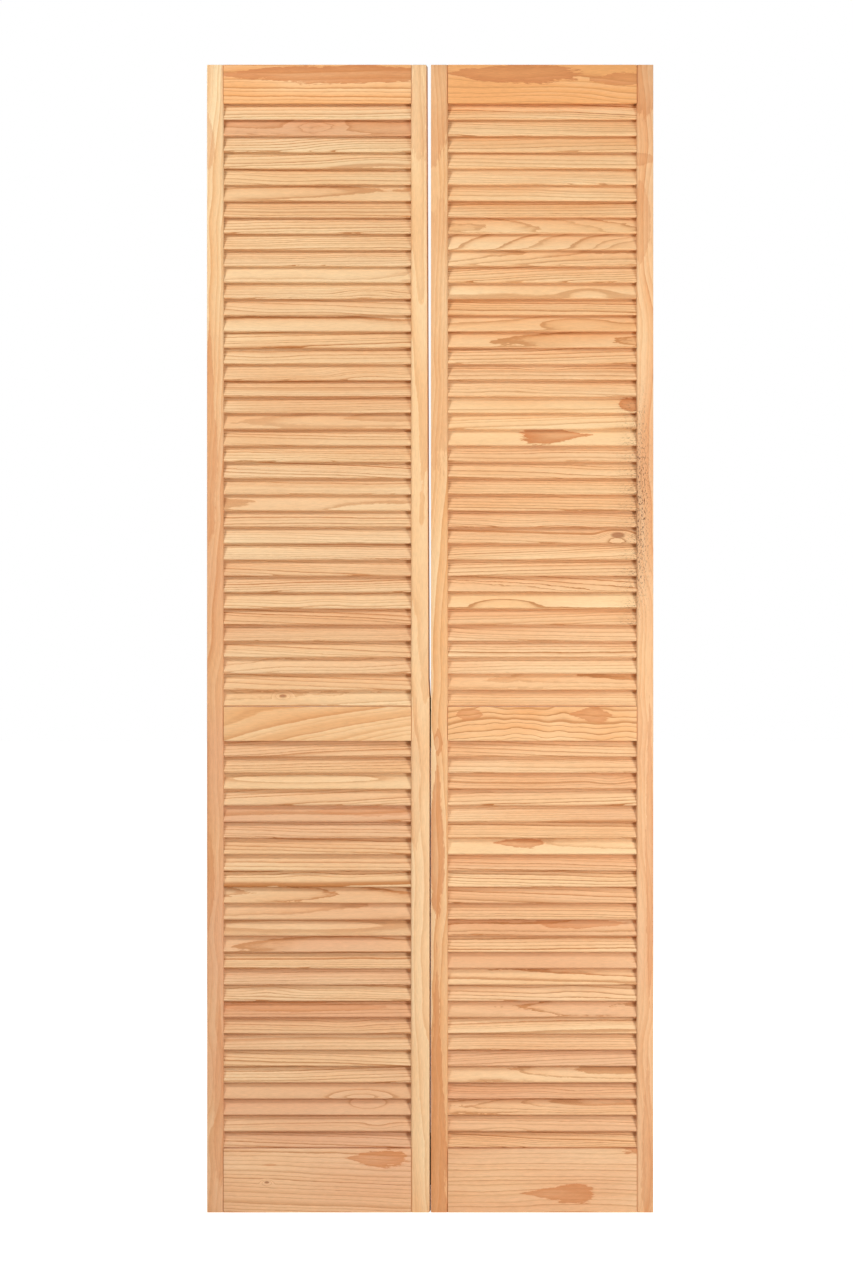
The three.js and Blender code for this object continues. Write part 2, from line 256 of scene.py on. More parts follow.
# Rings bulge where a branch once stood near the board's face. They part round a knot, which is twice as
# long as it is wide, and a ripple keeps their borders from running true.
knot_reach = 4
knot_parting = 12 * mm
ripple_size = 4 * mm
from_eye = add(wood, "ShaderNodeVectorMath", {0: from_mark["eye"]}, operation="LENGTH")
bulge = {"Value": from_eye.outputs["Value"], "To Min": growth["eye parts"][2], "To Max": 0}
bulge = add(wood, "ShaderNodeMapRange", bulge, interpolation_type="SMOOTHERSTEP")
from_knot = add(wood, "ShaderNodeVectorMath", {0: from_mark["knot"]}, operation="LENGTH")
from_knot = {0: from_knot.outputs["Value"], 1: growth["knot parts"][2]}
from_knot = add(wood, "ShaderNodeMath", from_knot, operation="DIVIDE")
parting = {"Value": from_knot, "From Max": knot_reach, "To Min": knot_parting, "To Max": 0}
parting = add(wood, "ShaderNodeMapRange", parting, interpolation_type="SMOOTHERSTEP")
ripple = {0: pattern["ripples"], 1: ripple_size, 2: -ripple_size / 2}
ripple = add(wood, "ShaderNodeMath", ripple, operation="MULTIPLY_ADD")
for shift in (bulge, parting, ripple):
    radius = add(wood, "ShaderNodeMath", {0: radius, 1: shift}, operation="ADD")

# Good and lean years make wide and narrow rings, and each ring has its own luck.
years_alike = 0.55
year_swing = 1.5
year = add(wood, "ShaderNodeMath", {0: radius, 1: ring_width}, operation="DIVIDE")
good_year = {0: year, 1: years_alike, 2: growth["drift parts"][0]}
good_year = add(wood, "ShaderNodeMath", good_year, operation="MULTIPLY_ADD")
good_year = {"W": good_year, "Scale": 1.0, "Detail": 1.0}
good_year = add(wood, "ShaderNodeTexNoise", good_year, noise_dimensions="1D")
year = add(wood, "ShaderNodeMath", {0: good_year, 1: year_swing, 2: year}, operation="MULTIPLY_ADD")
season = add(wood, "ShaderNodeMath", {0: year}, operation="FRACT")
ring = add(wood, "ShaderNodeMath", {0: year}, operation="FLOOR")
ring_seed = add(wood, "ShaderNodeMath", {0: ring, 1: growth["drift parts"][1]}, operation="ADD")
ring_luck = add(wood, "ShaderNodeTexWhiteNoise", {"W": ring_seed}, noise_dimensions="1D")

# Late wood comes in slowly after the middle of a season, and ends with it.
least_late = 0.5
late_luck = 0.7
late = add(wood, "ShaderNodeValToRGB", {"Fac": season})
stops = late.color_ramp.elements
stops[0].position, stops[0].color = 0.55, (0, 0, 0, 1)
stops[1].position, stops[1].color = 0.76, (0.3, 0.3, 0.3, 1)
for place, value in ((0.86, 1.0), (0.97, 1.0), (0.99, 0.0)):
    stops.new(place).color = (value, value, value, 1)
late = late.outputs["Color"]
late_share = {0: ring_luck, 1: late_luck, 2: least_late}
late_share = add(wood, "ShaderNodeMath", late_share, operation="MULTIPLY_ADD")
late_share = add(wood, "ShaderNodeMath", {0: late_share, 1: late}, operation="MULTIPLY")
late_share = {0: late_share, 1: contrast}
late_share = add(wood, "ShaderNodeMath", late_share, operation="MULTIPLY", use_clamp=True)

# The early wood's tone drifts along the board and from ring to ring, and its pink lies in slow swirls.
tone = -0.73
for cause, share in (
    (pattern["tones"], 0.7),
    (pattern["swirls"], 0.6),
    (ring_luck, ring_to_ring),
    (season, within_ring),
):
    tone = add(wood, "ShaderNodeMath", {0: cause, 1: share, 2: tone}, operation="MULTIPLY_ADD")
tone = add(wood, "ShaderNodeMath", {0: tone, 1: depth_of_tone}, operation="ADD", use_clamp=True)
pinkness = {0: blush, 1: pattern["swirls"]}
pinkness = add(wood, "ShaderNodeMath", pinkness, operation="MULTIPLY", use_clamp=True)

# Resin-rich heartwood lies in patches with a crisp border, rippled and feathered by the fibres, and in some
# rings' late wood.
border_ripple = 1 / (2.5 * mm)
border_feather = 0.7
lengthwise, sideways, _ = add(wood, "ShaderNodeSeparateXYZ", {0: from_mark["patch"]}).outputs
sideways = add(wood, "ShaderNodeMath", {0: sideways}, operation="ABSOLUTE")
narrowing = {0: lengthwise, 1: growth["spread parts"][2], 2: 1.0}
narrowing = add(wood, "ShaderNodeMath", narrowing, operation="MULTIPLY_ADD")
border = add(wood, "ShaderNodeMath", {0: sideways, 1: narrowing}, operation="MULTIPLY")
for cause, share in ((lengthwise, lengthwise), (ripple, border_ripple)):
    border = add(wood, "ShaderNodeMath", {0: cause, 1: share, 2: border}, operation="MULTIPLY_ADD")
feathered = {0: pattern["fibres"], 1: border_feather, 2: border}
feathered = add(wood, "ShaderNodeMath", feathered, operation="MULTIPLY_ADD")
richness = growth["patch parts"][2]
in_patch = {"Value": feathered, "From Min": 1.28, "From Max": 1.35, "To Min": richness, "To Max": 0}
in_patch = add(wood, "ShaderNodeMapRange", in_patch)
rim = add(wood, "ShaderNodeMapRange", {"Value": border, "To Min": 0.65, "To Max": 1.1})
in_patch = add(wood, "ShaderNodeMath", {0: in_patch, 1: rim}, operation="MULTIPLY")
heart_ring = add(wood, "ShaderNodeMapRange", {"Value": ring_luck, "From Min": 0.72, "From Max": 0.8})
for share in (heart, late):
    heart_ring = add(wood, "ShaderNodeMath", {0: heart_ring, 1: share}, operation="MULTIPLY")
resin = {0: in_patch, 1: heart_ring}
resin = add(wood, "ShaderNodeMath", resin, operation="MAXIMUM", use_clamp=True)
resin_tone = {0: pattern["tones"], 1: 0.9, 2: 0.5}
resin_tone = add(wood, "ShaderNodeMath", resin_tone, operation="MULTIPLY_ADD")
resin = add(wood, "ShaderNodeMath", {0: resin, 1: resin_tone}, operation="MULTIPLY", use_clamp=True)
in_knot = {"Value": from_knot, "From Min": 0.7, "From Max": 1.1, "To Min": 0.75, "To Max": 0}
in_knot = add(wood, "ShaderNodeMapRange", in_knot)

# Mildew specks where damp hands wore the lacquer through, thickest towards a slat's lower edge and a
# stile's inner edge.
clear_edge = 14 * mm
soiled_edge = -9 * mm
speck = {"Value": pattern["specks"], "From Min": 0.54, "From Max": 0.61, "To Min": 0.1}
speck = add(wood, "ShaderNodeMapRange", speck)
reach = add(wood, "ShaderNodeMath", {0: along, 1: soil_along}, operation="SUBTRACT")
reach = add(wood, "ShaderNodeMath", {0: reach}, operation="ABSOLUTE")
reach = {"Value": reach, "From Max": soil_reach, "To Min": soil_strength, "To Max": 0}
reach = add(wood, "ShaderNodeMapRange", reach, interpolation_type="SMOOTHSTEP")
cluster = {"Value": across, "From Min": clear_edge, "From Max": soiled_edge}
cluster = add(wood, "ShaderNodeMapRange", cluster)
reach = add(wood, "ShaderNodeMath", {0: cluster, 1: reach}, operation="MULTIPLY")
soiled = add(wood, "ShaderNodeMath", {0: speck, 1: reach}, operation="MULTIPLY", use_clamp=True)

# Pale early wood lies under each darker kind. Fibres streak them all, and mildew sits on top.
toned = colour("F8DAAB")
for share, code in (
    (tone, "E6A566"),
    (aged, "BCAC8A"),
    (pinkness, "D8A080"),
    (late_share, "B87842"),
    (resin, "CB8450"),
    (in_knot, "9A5F3A"),
):
    toned = {0: share, 6: toned, 7: colour(code)}
    toned = add(wood, "ShaderNodeMix", toned, data_type="RGBA").outputs[2]
streak = {"Value": pattern["fibres"], "From Min": 0.25, "From Max": 0.75, "To Min": 0.87, "To Max": 1.08}
streak = add(wood, "ShaderNodeMapRange", streak)
streaked = add(wood, "ShaderNodeHueSaturation", {"Value": streak, "Color": toned})
finished = {0: soiled, 6: streaked, 7: colour("5A2C12")}
finished = add(wood, "ShaderNodeMix", finished, data_type="RGBA").outputs[2]

# The lacquer is a little duller over the fibres' pores, and late wood stands a little proud under it.
late_relief = 0.35
gloss = {"Value": pattern["fibres"], "From Min": 0.3, "From Max": 0.7, "To Min": 0.56, "To Max": 0.68}
gloss = add(wood, "ShaderNodeMapRange", gloss)
relief = {0: late_share, 1: late_relief, 2: pattern["fibres"]}
relief = add(wood, "ShaderNodeMath", relief, operation="MULTIPLY_ADD")
relief = add(wood, "ShaderNodeBump", {"Height": relief, "Distance": 0.12 * mm, "Strength": 0.5})
surface = {
    "Base Color": finished,
    "Roughness": gloss,
    "Normal": relief,
    "IOR": 1.5,
    "Specular IOR Level": 0.25,
}
surface = add(wood, "ShaderNodeBsdfPrincipled", surface)
add(wood, "ShaderNodeOutputMaterial", {"Surface": surface})

slat_tree, given = new_tree(
    "Row of slats",
    Float=(
        *("Start", "Length", "Depth", "Lower Height", "Upper Height", "Pitch"),
        *("Width", "Thickness", "Corner", "Tilt", "Tilt Play", "Edge Wave"),
    ),
    Int=("Lower Count", "Upper Count", "Seed"),
    Material=("Material",),
)
far_end = add(slat_tree, "ShaderNodeCombineXYZ", {"X": given["Length"]})
line = add(slat_tree, "GeometryNodeCurvePrimitiveLine", {"End": far_end})
line = add(slat_tree, "GeometryNodeResampleCurve", {"Curve": line, "Count": slat_sections})
section = {"Width": given["Width"], "Height": given["Thickness"]}
section = add(slat_tree, "GeometryNodeCurvePrimitiveQuadrilateral", section)
section = {"Curve": section, "Radius": given["Corner"], "Count": corner_steps, "Limit Radius": True}
section = add(slat_tree, "GeometryNodeFilletCurve", section, mode="POLY")
slat = {"Curve": line, "Profile Curve": section, "Fill Caps": True}
slat = add(slat_tree, "GeometryNodeCurveToMesh", slat)
slat = {"Geometry": slat, "Name": "board", "Value": add(slat_tree, "GeometryNodeInputPosition")}
slat = add(slat_tree, "GeometryNodeStoreNamedAttribute", slat, data_type="FLOAT_VECTOR")
step = add(slat_tree, "ShaderNodeCombineXYZ", {"Z": given["Pitch"]})
places = add(slat_tree, "GeometryNodeJoinGeometry")
for field in ("Upper", "Lower"):
    lowest = {"X": given["Start"], "Y": given["Depth"], "Z": given[field + " Height"]}
    lowest = add(slat_tree, "ShaderNodeCombineXYZ", lowest)
    row = {"Count": given[field + " Count"], "Start Location": lowest, "Offset": step}
    row = add(slat_tree, "GeometryNodeMeshLine", row, mode="OFFSET", count_mode="TOTAL")
    slat_tree.links.new(row.outputs[0], places.inputs[0])
least_play = add(slat_tree, "ShaderNodeMath", {0: given["Tilt Play"], 1: -1.0}, operation="MULTIPLY")
play = {2: least_play, 3: given["Tilt Play"], "Seed": given["Seed"]}
play = add(slat_tree, "FunctionNodeRandomValue", play, data_type="FLOAT").outputs[1]
lying = add(slat_tree, "ShaderNodeMath", {0: math.pi / 2, 1: given["Tilt"]}, operation="SUBTRACT")
turned = add(slat_tree, "ShaderNodeMath", {0: lying, 1: play}, operation="ADD")
turn = add(slat_tree, "ShaderNodeCombineXYZ", {"X": turned})
row = {"Points": places, "Instance": slat, "Rotation": turn}
row = add(slat_tree, "GeometryNodeInstanceOnPoints", row)
row = {"Geometry": row, "Name": "slat", "Value": add(slat_tree, "GeometryNodeInputIndex")}
row = add(slat_tree, "GeometryNodeStoreNamedAttribute", row, data_type="INT", domain="INSTANCE")
row = add(slat_tree, "GeometryNodeRealizeInstances", {"Geometry": row})

# Each slat's edges waver by its own stretch of a noise, as planed stock does once it has dried.
kept_place = {"Name": "board"}
kept_place = add(slat_tree, "GeometryNodeInputNamedAttribute", kept_place, data_type="FLOAT_VECTOR")
kept_number = add(slat_tree, "GeometryNodeInputNamedAttribute", {"Name": "slat"}, data_type="INT")
wave_place = {0: kept_place, 1: slat_waves_per_metre}
wave_place = add(slat_tree, "ShaderNodeVectorMath", wave_place, operation="MULTIPLY")
wave_slat = add(slat_tree, "ShaderNodeMath", {0: kept_number, 1: slat_wave_step}, operation="MULTIPLY")
wave_slat = add(slat_tree, "ShaderNodeCombineXYZ", {"Z": wave_slat})
wave_place = add(slat_tree, "ShaderNodeVectorMath", {0: wave_place, 1: wave_slat}, operation="ADD")
wave = add(slat_tree, "ShaderNodeTexNoise", {"Vector": wave_place, "Scale": 1.0, "Detail": 1.0})
wave = add(slat_tree, "ShaderNodeMath", {0: wave, 1: 0.5}, operation="SUBTRACT")
wave = add(slat_tree, "ShaderNodeMath", {0: wave, 1: given["Edge Wave"]}, operation="MULTIPLY")
rise = add(slat_tree, "ShaderNodeCombineXYZ", {"Z": wave})
row = add(slat_tree, "GeometryNodeSetPosition", {"Geometry": row, "Offset": rise})
row = add(slat_tree, "GeometryNodeSetMaterial", {"Geometry": row, "Material": given["Material"]})
add(slat_tree, "NodeGroupOutput", {"Geometry": row})


def slat_row(leaf, grow):
    """One leaf's slats, or with some growth all round, the cutter for their housings."""
    low, high = sorted((stile_face[leaf], meeting_face[leaf]))
    start = low - slat_housing - grow
    base = fit_gap + slat_half_height
    return grown(
        slat_tree,
        {
            "Start": start,
            "Length": high + slat_housing + grow - start,
            "Depth": leaf_middle,
            "Width": slat_width + 2 * grow,
            "Thickness": slat_thickness + 2 * grow,
            "Corner": slat_corner + grow,
            "Tilt": slat_tilt,
            "Tilt Play": slat_play,
            "Edge Wave": slat_edge_wave,
            "Pitch": slat_pitch,
            "Lower Count": lower_slats,
            "Lower Height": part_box(leaf + "_bottom_rail")[1].z + base,
            "Upper Count": upper_slats,
            "Upper Height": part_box(leaf + "_middle_rail")[1].z + base,
            "Seed": 5,
            "Material": pine,
        },
    )


def store(mesh, name, rows, domain="POINT"):
    """Keeps a vector for each of a mesh's points or corners under some name."""
    rows = np.array(rows, np.float32)
    mesh.attributes.new(name, "FLOAT_VECTOR", domain).data.foreach_set("vector", rows.ravel())


# Slats that stand out by their wood, counted from 0 at the bottom of each leaf. The flat-sawn ones show an
# oval or a tongue where their rings bulge.
oval = {"lean": (0, 0, 0), "tint": (0.45, 0.8, 0.1), "rings": (0.0085, 0.004, 0.7)}
long_oval = {"pith": (2.2, -0.001, -0.055), "lean": (0, 0, 0), "spread": (0.34, 0.018, 0)}
tongue = {
    "pith": (2.2, -0.03, -0.0647),
    "lean": (0, 0, 0),
    "tint": (0.5, 0.1, 0),
    "rings": (0.0085, 0.003, 0.5),
}
marked_slats = {
    ("pivot", 2): {
        **oval,
        "pith": (2.2, -0.004, -0.06),
        "eye": (0.257, 0.003, 0.014),
        "spread": (0.055, 0.018, 0),
    },
    ("pivot", 3): {
        **oval,
        "pith": (2.2, 0.004, -0.06),
        "eye": (0.245, -0.016, 0.013),
        "spread": (0.09, 0.024, 0),
    },
    ("pivot", 8): {"tint": (0.8, 1, 0.5), "patch": (0.13, 0, 0.45), "spread": (0.16, 0.01, 0)},
    ("pivot", 13): {
        **long_oval,
        "eye": (0.14, 0, 0.01),
        "tint": (0.5, 0.6, 0),
        "rings": (0.012, 0.002, 0.6),
    },
    ("pivot", 20): {"tint": (0.45, 0.9, 0.3), "patch": (0.26, 0, 0.4), "spread": (0.1, 0.01, 0)},
    ("pivot", 22): {
        **long_oval,
        "eye": (0.15, 0, 0.01),
        "tint": (0.2, 0.1, 0),
        "rings": (0.012, 0.002, 0.7),
    },
    ("pivot", 25): {"tint": (0.2, 0.1, 0), "knot": (0.11, 0, 0.003), "rings": (0.004, 0.01, 0.45)},
    ("pivot", 37): {"tint": (0.35, 0.3, 0), "rings": (0.006, 0.012, 0.5)},
    ("pivot", 45): {"eye": (0.25, 0, 0.007), "rings": (0.0035, 0.01, 0.6)},
    ("pivot", 50): {"eye": (0.26, -0.004, 0.007), "rings": (0.0032, 0.01, 0.7)},
    ("pivot", 60): {"tint": (0.75, 1.1, 0), "eye": (0.17, 0, 0.006), "rings": (0.003, 0.01, 0.5)},
    ("lead", 13): {"patch": (0.24, 0.004, 0.7), "spread": (0.09, 0.009, 0.6)},
    ("lead", 18): {"tint": (0.3, 0.1, 0.4), "patch": (0.13, 0.002, 0.8), "spread": (0.05, 0.008, -0.6)},
    ("lead", 26): {"tint": (0.5, 0.3, 0), "rings": (0.004, 0.012, 0.6)},
    ("lead", 31): {
        **tongue,
        "eye": (0.106, -0.012, -0.009),
        "spread": (0.085, 0.022, 0),
        "tint": (0.3, 0, 0),
        "rings": (0.011, 0.003, 0.8),
    },
    ("lead", 35): {"knot": (0.302, -0.004, 0.0065), "rings": (0.004, 0.01, 0.7)},
    ("lead", 41): {
        "patch": (0.195, 0.001, 0.95),
        "spread": (0.064, 0.014, 0.85),
        "rings": (0.009, 0.01, 0.3),
        "tint": (0.25, 0, 0),
    },
    ("lead", 42): {"rings": (0.009, 0.012, 0.5), "tint": (0.2, 0, 0)},
    ("lead", 43): {
        "patch": (0.33, -0.004, 0.95),
        "spread": (0.03, 0.014, 0.5),
        "rings": (0.012, 0.02, 0.5),
        "tint": (0.35, 0, 0),
    },
    ("lead", 48): {
        **tongue,
        "pith": (2.2, -0.03, -0.062),
        "lean": (0, 0, 0.03),
        "eye": (0.22, 0, -0.008),
        "spread": (0.12, 0.022, 0),
    },
    ("lead", 50): {**tongue, "eye": (0.251, -0.01, -0.009), "spread": (0.07, 0.022, 0)},
    ("lead", 53): {
        "pith": (2.2, -0.024, -0.078),
        "lean": (0, 0, 0.17),
        "rings": (0.0095, 0.004, 0.6),
        "tint": (0.45, 0.2, 0),
    },
}
# The left leaf has greyed more, and its slats pale from the bottom up. The pink fades upwards on both
# leaves.
greyness = {"pivot": 0.16, "lead": 0.03}
lowest_tone = {"pivot": 0.16, "lead": 0.14}
paling = {"pivot": 0.18, "lead": 0}
edge_sawn_share = 0.78
# Hands have soiled the slats in the middle of the right leaf, at the ends by its outer stile.
soiled_slats = range(30, 44)
soil = (0.345, 0.06, 0.75)
luck = np.random.default_rng(11)
for leaf, side, _ in leaves:
    mesh = slat_row(leaf, 0)
    slat_of = np.empty(len(mesh.vertices), np.int32)
    mesh.attributes["slat"].data.foreach_get("value", slat_of)
    boards = []
    for number in range(lower_slats + upper_slats):
        edge_sawn = luck.random() < edge_sawn_share
        if edge_sawn:
            pith_across = luck.choice((-1, 1)) * luck.uniform(0.03, 0.09)
            pith_depths = (0.0, 0.03)
        else:
            pith_across = luck.uniform(-0.012, 0.012)
            pith_depths = (0.02, 0.06)
        height = number / (lower_slats + upper_slats)
        slat_board = {
            "drift": luck.uniform(0, 90, 3),
            "pith": (2.2, pith_across, -luck.uniform(*pith_depths)),
            "lean": (0, luck.uniform(-0.05, 0.05), luck.uniform(-0.03, 0.03)),
            "rings": (luck.uniform(0.0034, 0.0085), luck.uniform(0.008, 0.03), luck.uniform(0.55, 1.05)),
            "zones": (luck.uniform(0, 0.25), luck.uniform(0, 0.2), greyness[leaf]),
            "tint": (
                luck.uniform(0.2, 0.45) + lowest_tone[leaf] - paling[leaf] * height,
                luck.uniform(0.4, 0.95) * (1.05 - height),
                luck.uniform(0.0, 0.22),
            ),
            "eye": (
                luck.uniform(0.05, 0.3),
                luck.uniform(-0.02, 0.02),
                luck.choice((0, 0.004)) if edge_sawn else 0,
            ),
            "spread": (luck.uniform(0.05, 0.12), luck.uniform(0.012, 0.03), 0),
        }
        if leaf == "lead" and number in soiled_slats:
            slat_board["soil"] = soil
        boards.append({**plain_board, **slat_board, **marked_slats.get((leaf, number), {})})
    for name in plain_board:
        store(mesh, name, np.array([slat_board[name] for slat_board in boards])[slat_of])
    show(side + "_slats", mesh, leaf + "_leaf", [leaf + "_stile_with_slats"])

# ---- Outer stiles ----
# The long uprights at the outer edges, each planed from one length of pine, with a chamfer along the front
# of the inner side. Slanting housings take the slats' ends, and dowelled holes take the rails.

stile_chamfer = 2.4 * mm
eased_edge = 0.7 * mm
dowel_radius = 4 * mm
outer_edge = {"pivot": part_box("pivot_stile_with_slats")[0].x, "lead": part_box("lead_stile_with_slats")[1].x}
rails = ("bottom_rail", "middle_rail", "top_rail")
door_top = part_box("pivot_top_rail")[1].z


def prism(sections):
    """A closed mesh through several outlines, which have the same number of corners."""
    made = bmesh.new()
    rings = [[made.verts.new(point) for point in outline] for outline in sections]
    for low, high in zip(rings, rings[1:]):
        for at in range(len(low)):
            after = (at + 1) % len(low)
            made.faces.new((low[at], low[after], high[after], high[at]))
    made.faces.new(rings[0])
    made.faces.new(rings[-1])
    bmesh.ops.recalc_face_normals(made, faces=made.faces)
    return made


def ease(made, width, least=math.radians(20), segments=2):
    """Rounds over the edges of a mesh that turn by more than some angle."""
    sharp = [edge for edge in made.edges if edge.calc_face_angle(0) > least]
    bmesh.ops.bevel(made, geom=sharp, offset=width, segments=segments, affect="EDGES", profile=0.5)
    return made


def to_mesh(made, name):
    """Turns a mesh that was being worked on into a finished one."""
    mesh = bpy.data.meshes.new(name)
    made.to_mesh(mesh)
    made.free()
    return mesh


def add_cone(made, place, radii, depth, sides):
    """Adds a round bar or cone to a mesh. Its axis is the place's own Z, with the first radius below."""
    low, high = radii
    bmesh.ops.create_cone(
        made, cap_ends=True, segments=sides, radius1=low, radius2=high, depth=depth, matrix=place
    )


def bar(radius, start, end, sides=20):
    """A round bar between two points, as a mesh."""
    made = bmesh.new()
    line = end - start
    place = Matrix.Translation((start + end) / 2) @ line.to_track_quat("Z", "Y").to_matrix().to_4x4()
    add_cone(made, place, (radius, radius), depth=line.length, sides=sides)
    return to_mesh(made, "bar")


def combined(mesh, others, operation="DIFFERENCE"):
    """A mesh with each of the others cut away from it, or joined to it."""
    base = bpy.data.objects.new("base", mesh)
    scene.collection.objects.link(base)
    tools = []
    for other in others:
        tool = bpy.data.objects.new("tool", other)
        scene.collection.objects.link(tool)
        step = base.modifiers.new("step", "BOOLEAN")
        step.object, step.operation, step.solver = tool, operation, "EXACT"
        tools.append(tool)
    made = plain_mesh(base)
    for thing in (base, *tools):
        bpy.data.objects.remove(thing)
    return made


def coat_with(mesh, material):
    """Leaves a mesh with one material on all of its faces."""
    mesh.materials.clear()
    mesh.materials.append(material)


def dowel_holes(leaf, joint):
    """Cutters for the holes round a leaf's dowels at its outer or its meeting joints."""
    holes = []
    for rail in rails:
        for number in ("1", "2"):
            low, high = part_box(f"{leaf}_{rail}_{joint}_dowel_{number}")
            middle = (low + high) / 2
            start = Vector((low.x - fit_gap, middle.y, middle.z))
            end = Vector((high.x + fit_gap, middle.y, middle.z))
            holes.append(bar(dowel_radius + fit_gap, start, end))
    return holes


def grow_board(mesh, turn, grown_board):
    """Makes a mesh one board of pine. The turn takes a place in the door to one along, across and into the
    board. The tint blends between the places given for its tones, and each face has the mark nearest to
    it, counted in the marks' own half lengths."""
    coat_with(mesh, pine)
    for name in ("board", "slat"):
        if name in mesh.attributes:
            mesh.attributes.remove(mesh.attributes[name])
    places = np.array([turn(*vertex.co) for vertex in mesh.vertices])
    store(mesh, "board", places)
    corners = np.empty(len(mesh.loops), int)
    mesh.loops.foreach_get("vertex_index", corners)
    corner_along = places[corners, 0]
    first = np.array([face.loop_start for face in mesh.polygons])
    sides = np.array([face.loop_total for face in mesh.polygons])
    middle = np.repeat(np.add.reduceat(corner_along, first) / sides, sides)
    whole = {**plain_board, **grown_board}
    marks = [{**whole, **mark} for mark in whole.get("marks", [{}])]
    at, half_length = np.array([(mark["patch"][0], mark["spread"][0]) for mark in marks]).T
    nearest = (np.abs(middle[:, None] - at) / half_length).argmin(1)
    heights, tints = zip(*sorted(whole["tones"].items()))
    for name in plain_board:
        if name == "tint":
            rows = np.stack([np.interp(corner_along, heights, part) for part in zip(*tints)], 1)
        else:
            rows = np.array([mark[name] for mark in marks])[nearest]
        store(mesh, name, rows, "CORNER")


board_step = 25 * mm
# Marks and tones are given from the floor up.
outer_boards = {
    "pivot": {
        "drift": (3, 41, 7),
        "pith": (3.5, 0.035, -0.04),
        "lean": (0, 0.05, 0.03),
        "rings": (0.0095, 0.06, 0.12),
        "zones": (0.45, 0.45, 0.2),
        "tones": {
            0: (0.35, 0.9, 0.5),
            0.7: (0.66, 0.95, 0.6),
            1.2: (0.76, 0.7, 0.5),
            1.6: (0.16, 0, 0.3),
            1.98: (0.1, 0, 0),
        },
        "marks": [
            {"patch": (1.85, -0.014, 0.4), "spread": (0.05, 0.012, 0.5)},
            {"patch": (1.35, -0.01, 0.5), "spread": (0.2, 0.012, 0.6)},
            {"patch": (0.57, -0.012, 0.5), "spread": (0.09, 0.012, -0.5)},
            {"patch": (0.2, 0.008, 0.4), "spread": (0.16, 0.01, 0.5)},
        ],
    },
    "lead": {
        "drift": (23, 14, 57),
        "pith": (3.5, -0.04, -0.04),
        "lean": (0, -0.04, 0.03),
        "rings": (0.01, 0.06, 0.12),
        "zones": (0.4, 0.4, 0.08),
        "tones": {0: (0.5, 0.7, 0.5), 0.5: (0.43, 0.7, 0.7), 1.2: (0.4, 0.5, 0.4), 1.98: (0.35, 0.4, 0.4)},
        "marks": [
            {"patch": (1.97, 0, 0.6), "spread": (0.09, 0.05, 0)},
            {"patch": (1.818, -0.01, 0.5), "spread": (0.012, 0.024, 0)},
            {"patch": (1.71, -0.008, 0.4), "spread": (0.07, 0.022, 0.3)},
            {"patch": (1.22, 0, 0), "spread": (0.3, 1, 0), "soil": (1.22, 0.26, 1.5)},
            {"patch": (0.62, 0.008, 0.5), "spread": (0.28, 0.007, 0)},
            {"patch": (0.12, 0.004, 0.4), "spread": (0.15, 0.01, 0.5)},
        ],
    },
}
for leaf, side, outward in leaves:
    inner, outer = stile_face[leaf], outer_edge[leaf]
    outline = [
        (inner, leaf_back),
        (inner, leaf_front + stile_chamfer),
        (inner + outward * stile_chamfer, leaf_front),
        (outer, leaf_front),
        (outer, leaf_back),
    ]
    heights = np.linspace(0, door_top, round(door_top / board_step))
    made = ease(prism([[(x, y, z) for x, y in outline] for z in heights]), eased_edge)
    mesh = combined(to_mesh(made, side), [slat_row(leaf, fit_gap), *dowel_holes(leaf, "outer")])
    grow_board(mesh, lambda x, y, z: (z, x - (inner + outer) / 2, leaf_middle - y), outer_boards[leaf])
    show(side + "_outer_stile", mesh, leaf + "_leaf", [leaf + "_stile_with_slats"])

# ---- Meeting stiles ----
# The pine uprights beside the gap. Their meeting edges are planed to the same bevel, and the left one is
# tapered away above the middle hinge, so that the leaves part towards the top.

edge_bevel = math.radians(5.5)
half_gap = 1.3 * mm
hinge_height = 84 * mm
hinge_middles = {}
for hinge in ("middle", "bottom"):
    low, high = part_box(hinge + "_hinge_outer_plate")
    hinge_middles[hinge] = (low.z + high.z) / 2
pin = Vector(frame["joints"][0]["pos_m"])
taper_start = hinge_middles["middle"] + hinge_height / 2
taper_bend = taper_start + 34 * mm
# How much is planed off the left meeting edge at each of these heights.
taper = [(0, 0), (taper_start, 0), (taper_bend, 1.9 * mm), (door_top, 5.5 * mm)]


def meeting_edge(outward, y):
    """How far across a leaf's bevelled meeting edge lies, at some depth."""
    return pin.x + outward * half_gap / math.cos(edge_bevel) + (y - pin.y) * math.tan(edge_bevel)


